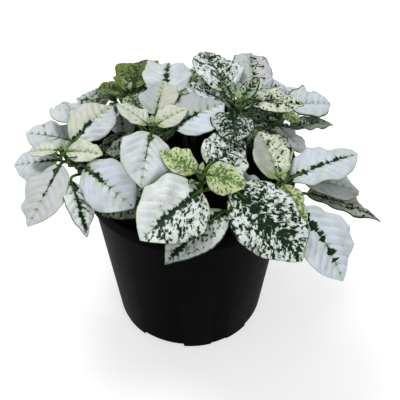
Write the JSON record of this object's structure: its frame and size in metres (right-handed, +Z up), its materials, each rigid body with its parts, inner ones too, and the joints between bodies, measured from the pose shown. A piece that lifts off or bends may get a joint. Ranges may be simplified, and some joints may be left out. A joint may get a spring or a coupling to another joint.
{
  "type": "potted polka dot plant",
  "caption": "House plant with white leaves speckled dark green, in opposite pairs on bushy stems, in a tapered black nursery pot filled with soil.",
  "frame": {"origin": "middle of the sunk disc under the pot, on the surface that the pot stands on", "axes": "+Z up along the pot's axis, -Y towards the front of the plant"},
  "size_m": [0.1893, 0.1584, 0.1547],
  "materials": {
    "pot": "satin",
    "soil": "rough",
    "stem": "satin",
    "leaf": "satin"
  },
  "bodies": {
    "root": {"leaf_pair_a1": "leaf", "leaf_pair_a2": "leaf", "leaf_pair_a3": "leaf", "leaf_pair_a4": "leaf", "leaf_pair_a5": "leaf", "leaf_pair_b1": "leaf", "leaf_pair_b2": "leaf", "leaf_pair_b3": "leaf", "leaf_pair_b4": "leaf", "leaf_pair_c1": "leaf", "leaf_pair_c2": "leaf", "leaf_pair_c3": "leaf", "leaf_pair_d1": "leaf", "leaf_pair_d2": "leaf", "leaf_pair_d3": "leaf", "leaf_pair_d4": "leaf", "leaf_pair_d5": "leaf", "leaf_pair_e1": "leaf", "leaf_pair_e2": "leaf", "leaf_pair_e3": "leaf", "leaf_pair_e4": "leaf", "leaf_pair_e5": "leaf", "leaf_pair_f1": "leaf", "leaf_pair_f2": "leaf", "leaf_pair_f3": "leaf", "leaf_pair_f4": "leaf", "leaf_pair_g1": "leaf", "leaf_pair_g2": "leaf", "leaf_pair_g3": "leaf", "leaf_pair_g4": "leaf", "leaf_pair_g5": "leaf", "leaf_pair_h1": "leaf", "leaf_pair_h2": "leaf", "leaf_pair_h3": "leaf", "leaf_pair_i1": "leaf", "leaf_pair_i2": "leaf", "leaf_pair_j1": "leaf", "leaf_pair_j2": "leaf", "leaf_pair_k1": "leaf", "leaf_pair_l1": "leaf", "leaf_pair_m1": "leaf", "leaf_pair_m2": "leaf", "pot": "pot", "potting_soil": "soil", "stem_a": "stem", "stem_b": "stem", "stem_c": "stem", "stem_d": "stem", "stem_e": "stem", "stem_f": "stem", "stem_g": "stem", "stem_h": "stem", "stem_i": "stem", "stem_j": "stem", "stem_k": "stem", "stem_l": "stem", "stem_m": "stem"}
  },
  "joints": []
}
